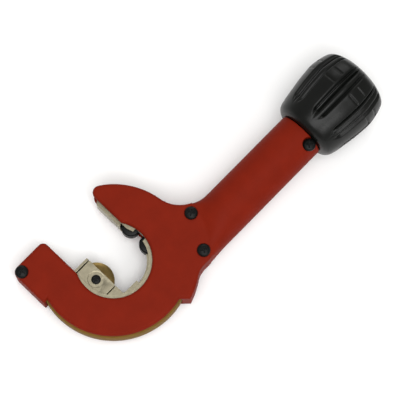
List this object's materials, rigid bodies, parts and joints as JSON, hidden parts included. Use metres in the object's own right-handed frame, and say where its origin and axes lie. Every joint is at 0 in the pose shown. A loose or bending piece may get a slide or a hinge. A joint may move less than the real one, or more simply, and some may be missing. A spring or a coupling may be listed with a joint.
{
  "type": "ratcheting pipe cutter",
  "caption": "Hand pipe cutter: a C-shaped rotor with a sprung cutting wheel and rollers turns inside a ratchet head on a round handle with a selector knob.",
  "frame": {"origin": "middle of the bounding box; the rotor's axis is at x = -0.0584 m, y = 0.0052 m and the head's middle plane is z = 0", "axes": "+X along the handle towards the knob, +Y out of the mouth, +Z out of the front face of the head"},
  "size_m": [0.1952, 0.0749, 0.042],
  "materials": {
    "red_paint": "satin paint on a die casting",
    "gold_plating": "satin gold-coloured plating",
    "nickel_plating": "satin nickel plating",
    "tool_steel": "ground",
    "blackened_steel": "black oxide, rubbed where the pipe rolls",
    "black_oxide": "black oxide",
    "bronze_coating": "bronze-coloured hard coating",
    "brass": "turned",
    "black_plastic": "semi-gloss moulding",
    "spring_steel": "bright drawn",
    "acetal": "moulded"
  },
  "bodies": {
    "housing": {"front_shell": "red_paint", "back_shell": "red_paint", "housing_screw_1": "black_oxide", "housing_screw_2": "black_oxide", "housing_screw_3": "black_oxide", "housing_screw_4": "black_oxide", "threaded_insert_1": "brass", "threaded_insert_2": "brass", "threaded_insert_3": "brass", "threaded_insert_4": "brass", "pawl_pin": "tool_steel", "front_bushing": "acetal", "rear_bushing": "acetal", "thrust_washer": "tool_steel"},
    "rotor": {"rotor_rim": "gold_plating", "ratchet_ring": "tool_steel", "rotor_head": "nickel_plating", "rotor_cover": "nickel_plating", "rotor_key_1": "tool_steel", "rotor_key_2": "tool_steel", "rotor_key_3": "tool_steel", "rotor_key_4": "tool_steel", "cover_screw_1": "black_oxide", "cover_screw_2": "black_oxide", "cover_screw_3": "black_oxide", "cover_screw_4": "black_oxide", "upper_roller_pin": "tool_steel", "lower_roller_pin": "tool_steel", "upper_carriage_spring": "spring_steel", "lower_carriage_spring": "spring_steel"},
    "upper_roller": {"upper_roller": "blackened_steel"},
    "lower_roller": {"lower_roller": "blackened_steel"},
    "carriage": {"wheel_carriage": "nickel_plating", "wheel_axle_screw": "black_oxide", "axle_nut": "tool_steel"},
    "cutting_wheel": {"cutting_wheel": "bronze_coating"},
    "pawl": {"rocker_pawl": "tool_steel"},
    "knob": {"knob_grip": "black_plastic", "knob_hub": "brass", "knob_cross_pin": "tool_steel", "knob_washer": "tool_steel", "knob_screw": "black_oxide", "knob_end_cap": "black_plastic", "selector_spindle": "tool_steel", "spindle_clip": "spring_steel", "plunger_spring": "spring_steel"},
    "plunger": {"selector_plunger": "tool_steel"}
  },
  "joints": [
    {"name": "rotor_turn", "type": "hinge", "parent": "housing", "child": "rotor", "pos_m": [-0.0584, 0.00517, 0], "axis": [0, 0, 1], "continuous": true},
    {"name": "carriage_slide", "type": "slide", "parent": "rotor", "child": "carriage", "axis": [-1, 0, 0], "range_m": [0, 0.009], "stiffness_N_per_m": 2500, "springref_m": -0.002, "deforming": ["upper_carriage_spring", "lower_carriage_spring"]},
    {"name": "cutting_wheel_spin", "type": "hinge", "parent": "carriage", "child": "cutting_wheel", "pos_m": [-0.0709, 0.00517, 0], "axis": [0, 0, 1], "continuous": true},
    {"name": "upper_roller_spin", "type": "hinge", "parent": "rotor", "child": "upper_roller", "pos_m": [-0.0401, 0.01137, 0], "axis": [0, 0, 1], "continuous": true},
    {"name": "lower_roller_spin", "type": "hinge", "parent": "rotor", "child": "lower_roller", "pos_m": [-0.0401, -0.00103, 0], "axis": [0, 0, 1], "continuous": true},
    {"name": "selector_turn", "type": "hinge", "parent": "housing", "child": "knob", "pos_m": [0.0539, -0.01643, 0], "axis": [-1, 0, 0], "range_deg": [0, 80]},
    {"name": "pawl_rock", "type": "hinge", "parent": "housing", "child": "pawl", "pos_m": [-0.0159, -0.01643, 0], "axis": [0, 0, -1], "range_deg": [0, 10.8]},
    {"name": "plunger_slide", "type": "slide", "parent": "knob", "child": "plunger", "axis": [1, 0, 0], "range_m": [0, 0.0012], "stiffness_N_per_m": 800, "springref_m": -0.001, "deforming": ["plunger_spring"]}
  ],
  "couplings": [
    {"joint": "pawl_rock", "follows": "selector_turn", "ratio": 0.135}
  ]
}
